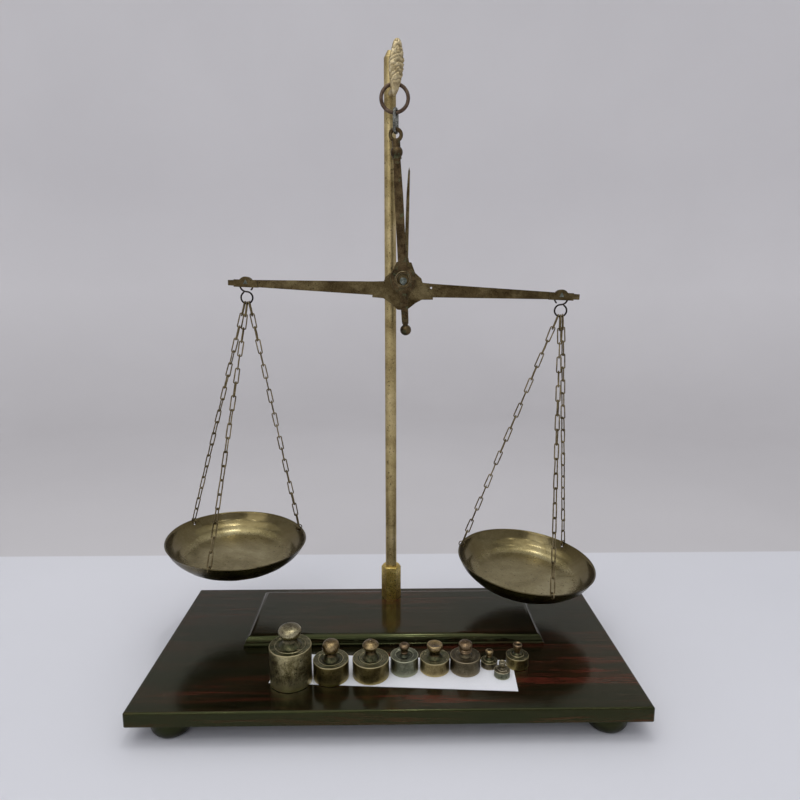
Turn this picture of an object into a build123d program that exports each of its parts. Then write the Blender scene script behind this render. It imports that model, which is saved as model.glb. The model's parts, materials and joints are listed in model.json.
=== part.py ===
"""Brass hand balance hung from a column, with its wooden stand and knob weights.

Frame: millimetres, +Z up, X along the beam, +Y towards the back of the stand.
Places below are measured from the middle of the stand, 2 mm under the feet. Each
sub-part is written moved by FRAME_SHIFT, so that the origin is on the table under the
middle of the whole balance, pans included.
"""

import os
from math import atan2, cos, degrees, radians, sin, tan

from build123d import *

FRAME_SHIFT = (4.9, -6.6, -2.0)
FIT = 0.03

# ---- stand -------------------------------------------------------------------
BOARD_W = 340.0
BOARD_D = 167.0
BOARD_T = 10.0
BOARD_EDGE_R = 1.6
FOOT_LOW = 2.0
FOOT_TOP = 16.0
FOOT_R = 14.0
FOOT_IN_X = 25.0
FOOT_IN_Y = 18.0
SCREW_R = 1.6
SCREW_HEAD_R = 3.4
SCREW_HEAD_H = 2.6
HEAD_Z = 4.0
BOARD_TOP = FOOT_TOP + BOARD_T

PLINTH_W = 226.0
PLINTH_D = 77.0
PLINTH_X = 3.0
PLINTH_Y = 28.0
PLINTH_FOOT_T = 2.2
PLINTH_T = 8.0
PLINTH_STEP = 1.0
PLINTH_OVOLO = 5.4
PLINTH_TOP = BOARD_TOP + PLINTH_T

# ---- column ------------------------------------------------------------------
COLUMN_X = 0.8
COLUMN_Y = 53.0
COLUMN_R = 4.5
COLUMN_TOP = 463.0
COLUMN_BEVEL = 2.6
SOCKET_R = 8.1
SOCKET_H = 28.5
SOCKET_BEVEL = 1.4
STUD_R = 2.4
STUD_UP = 20.0
NUT_AF = 8.0
NUT_H = 3.4
WASHER_R = 6.5
WASHER_T = 1.0
NUT_POCKET_R = 7.5
NUT_POCKET_D = 5.2

# ---- hook and ring on top of the column -----------------------------------------
BALANCE_Y = 39.3
TANG_R = 2.4
TANG_TURN = 13.9
TANG_Z = 432.5
LEAF_TOP = 465.0
LEAF_TIP = 426.5
LEAF_HALF_W = 6.0
LEAF_BACK = 16.2
LEAF_T = 4.8
LEAF_SECTIONS = (
    (0.0, 0.12, 0.4),
    (0.16, 0.6, 0.85),
    (0.4, 0.95, 1.0),
    (0.62, 1.0, 1.0),
    (0.84, 0.75, 0.9),
    (0.96, 0.5, 0.7),
    (1.0, 0.25, 0.4),
)
RING_R = 9.8
RING_WIRE = 1.35
LINK_WIRE = 1.1
LINK_HALF_W = 3.2
LINK_ASIDE = 0.7
LINK_TURN = 20.0
PLAY = 0.12

# ---- shears (the fork that carries the beam) ---------------------------------------
SHEARS_LEAN = -3.0
BALANCE_TURN = -2.3
EYE_R = 5.3
EYE_HOLE_R = 2.6
EYE_T = 2.2
EYE_NECK_R = 3.0
BEAD_R = 4.5
CHEEK_T = 1.6
CHEEK_GAP = 2.3
BOSS_HALF_W = 9.6
BOSS_HALF_H = 10.5
STRAP_TOP = 87.0
STRAP_TOP_W = 5.2
STRAP_LOW_W = 6.4
TAIL_TOP_W = 6.2
TAIL_END_W = 5.0
TAIL_END = -31.6
TAIL_BALL_Z = -37.9
TAIL_BALL_R = 4.2
TONGUE_TOP = 82.4
TONGUE_LOW = -24.6
RIVET_R = 1.1
BUSH_R = 6.4
BEARING_R = 4.3
BUSH_PROUD = 0.7

# ---- beam -----------------------------------------------------------------------
BEAM_TILT = 2.33
BEAM_T = 3.0
HUB_T = 3.4
HUB_HALF = 23.0
HUB_LOW = -9.8
ARM_HALF = 133.2
HANG_X = 119.6
HANG_Z = -0.3
KNIFE_R = 2.7
KNIFE_LIFT = 3.3
KNIFE_HALF_L = 4.5
END_T = 5.0
END_SLOT_W = 1.9
END_SLOT_HALF = 7.3
LUG_R = 5.4
LUG_DROP = 3.3
END_KNIFE_H = 3.4
END_KNIFE_HALF = 1.7
POINTER_X = 1.5
POINTER_BOW = 0.5
POINTER_TIP = 85.6
POINTER_T = 1.6

# ---- S-hooks, chains and pans -----------------------------------------------------
HOOK_WIRE = 0.65
HOOK_UP_R = 5.0
HOOK_LOW_R = 4.5
HOOK_OPEN = 50.0
TOP_LINK_STEP = 24.0
CHAIN_WIRE = 0.45
CHAIN_HALF_W = 1.55
CHAIN_LINKS = 19
CHAIN_SLACK = 0.7
RIM_RING_R = 2.5
RIM_RING_WIRE = 0.4
PAN_R = 55.5
PAN_FLOOR_R = 43.0
PAN_DEPTH = 16.0
PAN_BEND_R = 7.0
PAN_WALL = 0.9
PAN_HOLE_R = 1.0
PAN_HOLE_DROP = 2.9
PANS = {
    "left": {"centre": (-124.5, 41.3, 91.9), "tilt": (2.4, 3.2), "holes": (145.0, -98.0, 31.0)},
    "right": {"centre": (111.0, 38.0, 73.6), "tilt": (4.0, 4.9), "holes": (158.0, -81.0, 41.0)},
}

# ---- weights ----------------------------------------------------------------------
CARD_T = 0.3
CARD_L = 168.5
CARD_D = 35.0
CARD_CORNER = (85.2, -65.5)
CARD_TURN = -4.0
# name: x, y, body radius, body height, total height, knob radius, knob height
WEIGHTS = {
    "weight_a": (-68.0, -50.8, 14.3, 26.3, 40.3, 7.9, 8.6),
    "weight_b": (-41.0, -46.9, 12.3, 13.3, 27.0, 6.0, 8.9),
    "weight_c": (-13.6, -45.1, 12.7, 12.6, 25.4, 5.8, 6.6),
    "weight_d": (9.8, -40.0, 9.8, 11.5, 19.8, 3.5, 6.2),
    "weight_e": (31.2, -39.3, 10.4, 9.4, 19.1, 5.7, 6.7),
    "weight_f": (52.7, -39.7, 10.6, 10.7, 21.0, 4.9, 7.6),
    "weight_g": (70.2, -36.3, 5.9, 4.5, 12.2, 2.8, 4.4),
    "weight_h": (77.3, -48.2, 5.5, 4.8, 10.6, 2.4, 4.0),
    "weight_i": (90.3, -35.5, 8.0, 8.0, 16.1, 3.3, 5.6),
}

# ---- derived places -----------------------------------------------------------------
FEET = {
    "front_left": (-1, -1),
    "front_right": (1, -1),
    "back_left": (-1, 1),
    "back_right": (1, 1),
}
FOOT_X = BOARD_W / 2 - FOOT_IN_X
FOOT_Y = BOARD_D / 2 - FOOT_IN_Y

RING_X = COLUMN_X + (COLUMN_Y - BALANCE_Y) * tan(radians(TANG_TURN))
RING_Z = TANG_Z + TANG_R + PLAY + RING_WIRE - RING_R
RING_LOW = RING_Z - RING_R
LINK_TOP = RING_LOW + RING_WIRE + LINK_WIRE + 2 * PLAY
LINK_LOW = 402.9
SHEARS_PIVOT = Vector(RING_X + LINK_ASIDE, BALANCE_Y, LINK_LOW)
EYE_DROP = EYE_HOLE_R - LINK_WIRE - PLAY
SHEARS_LENGTH = 105.2
SHEARS = Pos(*SHEARS_PIVOT) * Rot(0, 0, BALANCE_TURN) * Rot(0, SHEARS_LEAN, 0) * Pos(0, 0, -SHEARS_LENGTH)
FULCRUM = SHEARS.position - Vector(0, 0, BEARING_R - 0.06)
BEAM = Pos(*FULCRUM) * Rot(0, 0, BALANCE_TURN) * Rot(0, BEAM_TILT, 0)
BEAM_WAY = Vector(cos(radians(BALANCE_TURN)), sin(radians(BALANCE_TURN)), 0)
KNIFE_WAY = Vector(-BEAM_WAY.Y, BEAM_WAY.X, 0)
PAN_SLOPE = atan2(PAN_DEPTH, PAN_R - PAN_FLOOR_R)


def save(name, shape):
    """Write one sub-part in the frame of the whole balance."""
    export_step(Pos(*FRAME_SHIFT) * shape, f"parts/{name}.step")


def box(x0, x1, y0, y1, z0, z1):
    """A block between two corners."""
    block = Box(x1 - x0, y1 - y0, z1 - z0)
    return Pos((x0 + x1) / 2, (y0 + y1) / 2, (z0 + z1) / 2) * block


def rod(radius, z0, z1):
    """A vertical cylinder on the Z axis."""
    return Pos(0, 0, (z0 + z1) / 2) * Cylinder(radius, z1 - z0)


def across(radius, half):
    """A cylinder along Y, centred on the origin."""
    return Rot(90, 0, 0) * Cylinder(radius, 2 * half)


def plate(points, y0, y1):
    """An outline in X and Z, made into a plate between two Y values."""
    outline = Polyline(*[(x, z) for x, z in points], close=True)
    face = make_face(Plane.XZ * outline)
    return Pos(0, y1, 0) * extrude(face, y1 - y0, dir=(0, -1, 0))


def turned(wire):
    """A body of revolution about Z from a closed wire in X and Z."""
    return revolve(make_face(Plane.XZ * wire), Axis.Z)


def wire_along(path, radius):
    """Round wire bent along a path."""
    start = Plane(origin=path @ 0, z_dir=path % 0)
    return sweep(start * Circle(radius), path=path)


# ---- stand ----------------------------------------------------------------------------
def base_board():
    """Flat board with eased top edges, bored for the foot screws and the column stud."""
    board = box(-BOARD_W / 2, BOARD_W / 2, -BOARD_D / 2, BOARD_D / 2, FOOT_TOP, BOARD_TOP)
    upright = board.edges().filter_by(Axis.Z)
    board = fillet(upright, BOARD_EDGE_R)
    board = fillet(board.faces().sort_by(Axis.Z)[-1].edges(), BOARD_EDGE_R)
    for side_x, side_y in FEET.values():
        board -= Pos(side_x * FOOT_X, side_y * FOOT_Y, 0) * rod(SCREW_R + FIT, FOOT_TOP, FOOT_TOP + 7)
    at_column = Pos(COLUMN_X, COLUMN_Y, 0)
    board -= at_column * rod(STUD_R + FIT, FOOT_TOP, BOARD_TOP)
    board -= at_column * rod(NUT_POCKET_R, FOOT_TOP, FOOT_TOP + NUT_POCKET_D)
    return board


def plinth():
    """Small moulded step that carries the column."""
    half_w = PLINTH_W / 2
    half_d = PLINTH_D / 2
    low = box(-half_w, half_w, -half_d, half_d, BOARD_TOP, BOARD_TOP + PLINTH_FOOT_T)
    half_w -= PLINTH_STEP
    half_d -= PLINTH_STEP
    high = box(-half_w, half_w, -half_d, half_d, BOARD_TOP + PLINTH_FOOT_T, PLINTH_TOP)
    high = fillet(high.faces().sort_by(Axis.Z)[-1].edges(), PLINTH_OVOLO)
    step = Pos(PLINTH_X, PLINTH_Y, 0) * (low + high)
    return step - Pos(COLUMN_X, COLUMN_Y, 0) * rod(STUD_R + FIT, BOARD_TOP, PLINTH_TOP)


def foot():
    """Flattened turned bun foot with a counterbored screw hole."""
    profile = [
        Line((0, FOOT_LOW), (FOOT_R * 0.72, FOOT_LOW)),
        ThreePointArc((FOOT_R * 0.72, FOOT_LOW), (FOOT_R, FOOT_TOP * 0.52), (FOOT_R * 0.8, FOOT_TOP - 1.6)),
        Line((FOOT_R * 0.8, FOOT_TOP - 1.6), (FOOT_R * 0.84, FOOT_TOP)),
        Line((FOOT_R * 0.84, FOOT_TOP), (0, FOOT_TOP)),
        Line((0, FOOT_TOP), (0, FOOT_LOW)),
    ]
    bun = turned(Wire(profile))
    bun -= rod(SCREW_R + FIT, FOOT_LOW, FOOT_TOP)
    return bun - rod(SCREW_HEAD_R, FOOT_LOW, HEAD_Z + SCREW_HEAD_H)


def foot_screw():
    """Pan-head wood screw that holds a foot to the board."""
    head = rod(SCREW_HEAD_R - 0.2, HEAD_Z, HEAD_Z + SCREW_HEAD_H)
    head = fillet(head.edges().sort_by(Axis.Z)[0], 0.8)
    head -= box(-SCREW_HEAD_R, SCREW_HEAD_R, -0.4, 0.4, HEAD_Z, HEAD_Z + 0.9)
    return head + rod(SCREW_R, HEAD_Z + SCREW_HEAD_H, FOOT_TOP + 7)


def column_socket():
    """Hexagonal brass collar round the foot of the column, its top corners turned off."""
    top = PLINTH_TOP + SOCKET_H
    collar = Pos(0, 0, PLINTH_TOP) * extrude(RegularPolygon(SOCKET_R, 6), SOCKET_H)
    blank = rod(SOCKET_R, PLINTH_TOP, top)
    collar &= chamfer(blank.edges().sort_by(Axis.Z)[-1], SOCKET_BEVEL)
    collar -= rod(COLUMN_R + FIT, PLINTH_TOP, top)
    return Pos(COLUMN_X, COLUMN_Y, 0) * collar


def column():
    """Plain brass rod, tapped below for its stud and bored near the top for the hook."""
    post = rod(COLUMN_R, PLINTH_TOP, COLUMN_TOP)
    post = chamfer(post.edges().sort_by(Axis.Z)[-1], COLUMN_BEVEL * 1.9, COLUMN_BEVEL)
    post -= rod(STUD_R + FIT, PLINTH_TOP, PLINTH_TOP + STUD_UP + FIT)
    post -= Pos(0, 0, TANG_Z) * Rot(0, 0, TANG_TURN) * Pos(0, -5, 0) * across(TANG_R + FIT, 8)
    return Pos(COLUMN_X, COLUMN_Y, 0) * post


def column_stud():
    """Threaded stud from under the board into the column."""
    return Pos(COLUMN_X, COLUMN_Y, 0) * rod(STUD_R, FOOT_TOP + 0.6, PLINTH_TOP + STUD_UP)


def base_washer():
    """Washer in the pocket under the board."""
    top = FOOT_TOP + NUT_POCKET_D
    ring = rod(WASHER_R, top - WASHER_T, top) - rod(STUD_R + FIT, top - WASHER_T, top)
    return Pos(COLUMN_X, COLUMN_Y, 0) * ring


def base_nut():
    """Hexagon nut that pulls the column down."""
    top = FOOT_TOP + NUT_POCKET_D - WASHER_T
    prism = extrude(RegularPolygon(NUT_AF / 2, 6, major_radius=False), NUT_H)
    prism = Pos(0, 0, top - NUT_H) * prism
    return Pos(COLUMN_X, COLUMN_Y, 0) * (prism - rod(STUD_R + FIT, top - NUT_H, top))


def finial_hook():
    """Cast leaf that stands in front of the column on a tang; the ring hangs on the tang."""
    reach = LEAF_BACK + LEAF_T / 2
    low = LEAF_TIP - TANG_Z
    high = LEAF_TOP - TANG_Z
    sections = []
    for share, width, depth in LEAF_SECTIONS:
        place = Plane(origin=(0, -reach, low + (high - low) * share))
        sections.append(place * Ellipse(LEAF_HALF_W * width, LEAF_T / 2 * depth))
    leaf = loft(sections)
    tang = Pos(0, -reach / 2 - 1, 0) * across(TANG_R, reach / 2 - 1)
    hook = Rot(0, 0, TANG_TURN) * (leaf + tang)
    return Pos(COLUMN_X, COLUMN_Y, TANG_Z) * hook


def weight_card():
    """Slip of white card that the weights stand on."""
    slip = box(-CARD_L, 0, 0, CARD_D, 0, CARD_T)
    return Pos(CARD_CORNER[0], CARD_CORNER[1], BOARD_TOP) * Rot(0, 0, CARD_TURN) * slip


# ---- hanging parts ---------------------------------------------------------------------
def hanging_ring():
    """Closed wire ring in the plane of the beam."""
    return Pos(RING_X, BALANCE_Y, RING_Z) * Rot(90, 0, 0) * Torus(RING_R, RING_WIRE)


def oval_link(half_w, half_l, radius):
    """Closed oval wire link in the XZ plane: straight sides and round ends."""
    straight = half_l - half_w
    path = Wire(
        [
            Line((half_w, 0, -straight), (half_w, 0, straight)),
            ThreePointArc((half_w, 0, straight), (0, 0, half_l), (-half_w, 0, straight)),
            Line((-half_w, 0, straight), (-half_w, 0, -straight)),
            ThreePointArc((-half_w, 0, -straight), (0, 0, -half_l), (half_w, 0, -straight)),
        ]
    )
    return wire_along(path, radius)


def suspension_link():
    """Oval link between the ring and the eye of the shears, nearly edge-on from the front."""
    half_l = (LINK_TOP - LINK_LOW) / 2
    link = Rot(0, 0, 90 - LINK_TURN) * oval_link(LINK_HALF_W, half_l, LINK_WIRE)
    return Pos(SHEARS_PIVOT.X, BALANCE_Y, (LINK_TOP + LINK_LOW) / 2) * link


def shears_eye():
    """Eye, bead and tongue in one piece; both cheeks are riveted to the tongue."""
    eye_z = SHEARS_LENGTH - EYE_DROP
    eye = Pos(0, 0, eye_z) * across(EYE_R, EYE_T / 2)
    eye = fillet(eye.edges().filter_by(GeomType.CIRCLE), 0.8)
    neck = rod(EYE_NECK_R, STRAP_TOP + BEAD_R, eye_z - EYE_HOLE_R - 0.4)
    bead = Pos(0, 0, STRAP_TOP + BEAD_R + 0.3) * Sphere(BEAD_R)
    cap = rod(3.4, STRAP_TOP, STRAP_TOP + 1.6)
    half_w = STRAP_TOP_W / 2 - 0.2
    tongue = box(-half_w, half_w, -CHEEK_GAP, CHEEK_GAP, TONGUE_TOP, STRAP_TOP + 0.6)
    body = eye + neck + bead + cap + tongue
    body -= Pos(0, 0, eye_z) * across(EYE_HOLE_R, EYE_T)
    mouth = Pos(0, 0, eye_z) * Rot(90, 0, 0) * Torus(EYE_HOLE_R + 0.1, 0.75)
    body -= Pos(0, EYE_T / 2 + 0.35, 0) * mouth + Pos(0, -EYE_T / 2 - 0.35, 0) * mouth
    body -= Pos(0, 0, TONGUE_TOP + 2.2) * across(RIVET_R + FIT, CHEEK_GAP)
    return SHEARS * body


def cheek(side):
    """One side plate: strap, oval boss for the bearing, and tail. side is -1 in front, +1 behind."""
    outline = [
        (-STRAP_TOP_W / 2, STRAP_TOP),
        (-STRAP_LOW_W / 2, 62),
        (-STRAP_LOW_W / 2, 6),
        (-TAIL_TOP_W / 2, -6),
        (-TAIL_END_W / 2, TAIL_END),
        (TAIL_END_W / 2, TAIL_END),
        (TAIL_TOP_W / 2, -6),
        (STRAP_LOW_W / 2, 6),
        (STRAP_LOW_W / 2, 62),
        (STRAP_TOP_W / 2, STRAP_TOP),
    ]
    near = CHEEK_GAP if side > 0 else -CHEEK_GAP - CHEEK_T
    blade = plate(outline, near, near + CHEEK_T)
    oval = Plane.XZ * Ellipse(BOSS_HALF_W, BOSS_HALF_H)
    blade += Pos(0, near + CHEEK_T, 0) * extrude(oval, CHEEK_T)
    blade -= Pos(0, near + CHEEK_T / 2, 0) * across(BUSH_R + FIT, CHEEK_T)
    for height in (TONGUE_TOP + 2.2, TONGUE_LOW - 3.0):
        blade -= Pos(0, near + CHEEK_T / 2, height) * across(RIVET_R + FIT, CHEEK_T)
    return SHEARS * blade


def bearing_bush(side):
    """Hard ring pressed into a cheek; the knife edge rests in the bottom of its bore."""
    half = (CHEEK_T + BUSH_PROUD) / 2
    middle = side * (CHEEK_GAP + half)
    ring = across(BUSH_R, half) - across(BEARING_R, half)
    outer = ring.edges().filter_by(GeomType.CIRCLE).sort_by(Axis.Y)
    rim = outer[-2:] if side > 0 else outer[:2]
    ring = chamfer(rim, 0.4)
    return SHEARS * Pos(0, middle, 0) * ring


def shears_tail():
    """Ball under a collar, with a tongue riveted between the cheeks' tails."""
    half_w = TAIL_END_W / 2 - 0.1
    tongue = box(-half_w, half_w, -CHEEK_GAP, CHEEK_GAP, TAIL_END, TONGUE_LOW)
    collar = rod(2.5, TAIL_END - 1.5, TAIL_END)
    neck = rod(2.0, TAIL_BALL_Z, TAIL_END)
    ball = Pos(0, 0, TAIL_BALL_Z) * Sphere(TAIL_BALL_R)
    body = tongue + collar + neck + ball
    body -= Pos(0, 0, TONGUE_LOW - 3.0) * across(RIVET_R + FIT, CHEEK_GAP)
    return SHEARS * body


def shears_rivet(height):
    """Rivet with two low domed heads through both cheeks and the tongue."""
    half = CHEEK_GAP + CHEEK_T
    shank = across(RIVET_R, half)
    head = across(RIVET_R + 0.7, 0.35)
    body = shank + Pos(0, half + 0.35, 0) * head + Pos(0, -half - 0.35, 0) * head
    return SHEARS * Pos(0, 0, height) * body


def beam_outline():
    """Right half of the beam's outline, from the top of the hub to its bottom."""
    return [
        (5.5, 17.2),
        (8.8, 9.6),
        (13.6, 5.6),
        (14.6, 2.6),
        (22.0, 2.1),
        (110.0, -0.35),
        (ARM_HALF, -1.3),
        (ARM_HALF, -5.3),
        (110.0, -5.9),
        (HUB_HALF, HUB_LOW + 1.7),
        (HUB_HALF, HUB_LOW),
        (14.6, -10.2),
        (10.0, -12.9),
        (3.5, -18.4),
    ]


def hub_outline():
    """Right half of the thicker hub plate."""
    outline = [point for point in beam_outline() if point[0] < HUB_HALF + 0.5]
    outline.remove((HUB_HALF, HUB_LOW + 1.7))
    outline.remove((22.0, 2.1))
    return outline


def knife_profile():
    """Round-backed knife with its edge down at the origin."""
    wide = KNIFE_R * cos(radians(30))
    return [
        (0, 0),
        (wide, KNIFE_LIFT - KNIFE_R * 0.5),
        (KNIFE_R, KNIFE_LIFT),
        (wide, KNIFE_LIFT + KNIFE_R * 0.5),
        (KNIFE_R * 0.5, KNIFE_LIFT + wide),
        (-KNIFE_R * 0.5, KNIFE_LIFT + wide),
        (-wide, KNIFE_LIFT + KNIFE_R * 0.5),
        (-KNIFE_R, KNIFE_LIFT),
        (-wide, KNIFE_LIFT - KNIFE_R * 0.5),
    ]


def end_knife_profile():
    """Three-sided knife with its edge up at the origin."""
    return [(0, 0), (END_KNIFE_HALF, -END_KNIFE_H), (-END_KNIFE_HALF, -END_KNIFE_H)]


def beam():
    """Flat balance beam: hub, two tapering arms and a slotted box at each end."""
    right = beam_outline()
    left = [(-x, z) for x, z in reversed(right)]
    bar = plate(right + left, -BEAM_T / 2, BEAM_T / 2)
    bar += plate(hub_outline() + [(-x, z) for x, z in reversed(hub_outline())], -HUB_T / 2, HUB_T / 2)
    for side in (-1, 1):
        middle = side * HANG_X
        block = box(middle - 9.0, middle + 9.0, -END_T / 2, END_T / 2, -6.2, -0.6)
        lug = Pos(middle, 0, HANG_Z - LUG_DROP) * across(LUG_R, END_T / 2)
        lug -= box(middle - LUG_R, middle + LUG_R, -END_T, END_T, -12, -4.0)
        bar += block + lug
        half = END_SLOT_HALF
        bar -= box(middle - half, middle + half, -END_SLOT_W / 2, END_SLOT_W / 2, -12, 12)
        bar -= Pos(middle, 0, HANG_Z) * plate(end_knife_profile(), -END_T, END_T)
    bar -= plate(knife_profile(), -HUB_T, HUB_T)
    bar -= Pos(21.3, 0, -1.0) * across(0.8, HUB_T)
    return BEAM * bar


def fulcrum_knife():
    """Steel knife through the hub, edge down in the two bearings."""
    return BEAM * plate(knife_profile(), -KNIFE_HALF_L, KNIFE_HALF_L)


def end_knife(side):
    """Steel knife across a beam end, edge up under the S-hook."""
    knife = plate(end_knife_profile(), -END_T / 2 - 0.2, END_T / 2 + 0.2)
    return BEAM * Pos(side * HANG_X, 0, HANG_Z) * knife


def pointer():
    """Thin needle that rises from the hub between the cheeks."""
    outline = [
        (POINTER_X - 2.4, 17.2),
        (POINTER_X - 1.5, 21.0),
        (POINTER_X - POINTER_BOW - 1.25, 66.0),
        (POINTER_X - POINTER_BOW - 0.7, POINTER_TIP - 3),
        (POINTER_X - POINTER_BOW, POINTER_TIP),
        (POINTER_X - POINTER_BOW + 0.7, POINTER_TIP - 3),
        (POINTER_X - POINTER_BOW + 1.25, 66.0),
        (POINTER_X + 1.5, 21.0),
        (POINTER_X + 2.4, 17.2),
    ]
    return BEAM * plate(outline, -POINTER_T / 2, POINTER_T / 2)


def hang_point(side):
    """Place of an end knife's edge in the part's frame."""
    return (BEAM * Pos(side * HANG_X, 0, HANG_Z)).position


def low_loop_centre(side):
    """Centre of the S-hook's lower loop."""
    drop = HOOK_UP_R - HOOK_WIRE - PLAY + HOOK_UP_R + HOOK_LOW_R
    return hang_point(side) - Vector(0, 0, drop)


def s_hook(side):
    """S-hook bent from one wire: the upper loop rides on the knife, the lower holds the chains."""
    up_centre = hang_point(side) - Vector(0, 0, HOOK_UP_R - HOOK_WIRE - PLAY)
    high = Plane(origin=up_centre, x_dir=BEAM_WAY, z_dir=-KNIFE_WAY)
    low = Plane(origin=low_loop_centre(side), x_dir=BEAM_WAY, z_dir=-KNIFE_WAY)
    upper = high * CenterArc((0, 0), HOOK_UP_R, -HOOK_OPEN, 270 + HOOK_OPEN)
    lower = low * CenterArc((0, 0), HOOK_LOW_R, 90, -360 + HOOK_OPEN / 2)
    path = Wire([upper, lower])
    hook = wire_along(path, HOOK_WIRE)
    if side > 0:
        hook = mirror(hook, Plane(origin=hang_point(side), z_dir=BEAM_WAY))
    return hook


def pan_frame(side_name):
    """Placement of a pan: its rim's centre and tilt."""
    spot = PANS[side_name]
    return Pos(*spot["centre"]) * Rot(spot["tilt"][0], spot["tilt"][1], 0)


def pan_wall_radius(depth):
    """Mid-wall radius of a pan at a depth below its rim."""
    return PAN_R - depth / tan(PAN_SLOPE) - PAN_WALL / 2 / sin(PAN_SLOPE)


def pan(side_name):
    """Shallow spun dish: flat floor, straight sloping wall, and three chain holes under the rim."""
    inner_rim = PAN_R - PAN_WALL / sin(PAN_SLOPE)
    inner_floor = inner_rim - (PAN_DEPTH - PAN_WALL) / tan(PAN_SLOPE)
    floor_top = PAN_WALL - PAN_DEPTH
    outside = FilletPolyline((0, -PAN_DEPTH), (PAN_FLOOR_R, -PAN_DEPTH), (PAN_R, 0), radius=PAN_BEND_R)
    inside = FilletPolyline((inner_rim, 0), (inner_floor, floor_top), (0, floor_top), radius=PAN_BEND_R - PAN_WALL)
    rim = Line((PAN_R, 0), (inner_rim, 0))
    middle = Line((0, floor_top), (0, -PAN_DEPTH))
    dish = turned(Wire([*outside.edges(), rim, *inside.edges(), middle]))
    for angle in PANS[side_name]["holes"]:
        hole = Pos(pan_wall_radius(PAN_HOLE_DROP), 0, -PAN_HOLE_DROP) * Rot(0, 180 - degrees(PAN_SLOPE), 0)
        dish -= Rot(0, 0, angle) * hole * Cylinder(PAN_HOLE_R, 5)
    return pan_frame(side_name) * dish


def rim_ring_frames(side_name):
    """Frames of the three rim rings: origin at the ring's centre, Y along the rim."""
    radius = pan_wall_radius(PAN_HOLE_DROP) + RIM_RING_R * cos(PAN_SLOPE)
    lift = RIM_RING_R * sin(PAN_SLOPE) - PAN_HOLE_DROP
    frames = []
    for angle in PANS[side_name]["holes"]:
        frames.append(pan_frame(side_name) * Rot(0, 0, angle) * Pos(radius, 0, lift))
    return frames


def rim_ring(frame):
    """Small split ring through a chain hole."""
    return frame * Rot(90, 0, 0) * Torus(RIM_RING_R, RIM_RING_WIRE)


class ChainLine:
    """A straight run of links from the S-hook's lower loop to one rim ring."""

    def __init__(self, side_name, index):
        side = -1 if side_name == "left" else 1
        frame = rim_ring_frames(side_name)[index]
        turn = radians((index - 1) * TOP_LINK_STEP)
        loop = low_loop_centre(side)
        self.start = loop + BEAM_WAY * (HOOK_LOW_R * sin(turn)) - Vector(0, 0, HOOK_LOW_R * cos(turn))
        centre = frame.position
        toward = (self.start - centre).normalized()
        radial = (frame * Pos(1, 0, 0)).position - centre
        upward = (frame * Pos(0, 0, 1)).position - centre
        in_plane = (radial * toward.dot(radial) + upward * toward.dot(upward)).normalized()
        end = centre + in_plane * RIM_RING_R
        self.rim = (frame * Pos(0, 1, 0)).position - centre
        self.along = (end - self.start).normalized()
        span = (end - self.start).length + HOOK_WIRE + RIM_RING_WIRE + CHAIN_SLACK + PLAY
        self.inner = span / CHAIN_LINKS + PLAY

    def link(self, number):
        """Link by number, counted from the hook; each is turned about 90 degrees from the last."""
        first = self.along.cross(BEAM_WAY).normalized()
        normal = self.along.cross(first)
        last_angle = degrees(atan2(self.rim.dot(normal), self.rim.dot(first)))
        quarter_turns = 90 * (CHAIN_LINKS - 1)
        twist = (last_angle - quarter_turns + 90) % 180 - 90
        angle = radians(number * 90 + twist * number / (CHAIN_LINKS - 1))
        width = first * cos(angle) + normal * sin(angle)
        reach = self.inner / 2 - HOOK_WIRE - PLAY + number * (self.inner - PLAY)
        if number > 0:
            reach -= CHAIN_SLACK
        place = Plane(origin=self.start + self.along * reach, x_dir=width, z_dir=self.along)
        half_l = self.inner / 2 + CHAIN_WIRE
        return place * oval_link(CHAIN_HALF_W, half_l, CHAIN_WIRE)


# ---- weights ------------------------------------------------------------------------------
def weight(x, y, radius, body_h, total_h, knob_r, knob_h):
    """Turned weight: drum with a sunk top, flared neck and rounded knob."""
    edge = min(0.7, radius * 0.06)
    sink = min(0.8, body_h * 0.08)
    neck_r = knob_r * 0.62
    flare_r = min(knob_r, radius * 0.66)
    knob_low = total_h - knob_h
    widest = total_h - knob_h * 0.52
    profile = [
        Line((0, 0), (radius - edge, 0)),
        Line((radius - edge, 0), (radius, edge)),
        Line((radius, edge), (radius, body_h - edge)),
        Line((radius, body_h - edge), (radius - edge, body_h)),
        Line((radius - edge, body_h), (radius * 0.8, body_h)),
        Line((radius * 0.8, body_h), (radius * 0.74, body_h - sink)),
        Line((radius * 0.74, body_h - sink), (flare_r, body_h - sink)),
        Spline((flare_r, body_h - sink), (neck_r, knob_low), tangents=[(-1, 0.2), (0, 1)]),
        Spline((neck_r, knob_low), (knob_r, widest), tangents=[(1, 0.3), (0, 1)]),
        Spline((knob_r, widest), (0, total_h), tangents=[(0, 1), (-1, 0)]),
        Line((0, total_h), (0, 0)),
    ]
    return Pos(x, y, BOARD_TOP + CARD_T) * turned(Wire(profile))


# ---- write every sub-part -----------------------------------------------------------------
os.makedirs("parts", exist_ok=True)

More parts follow.
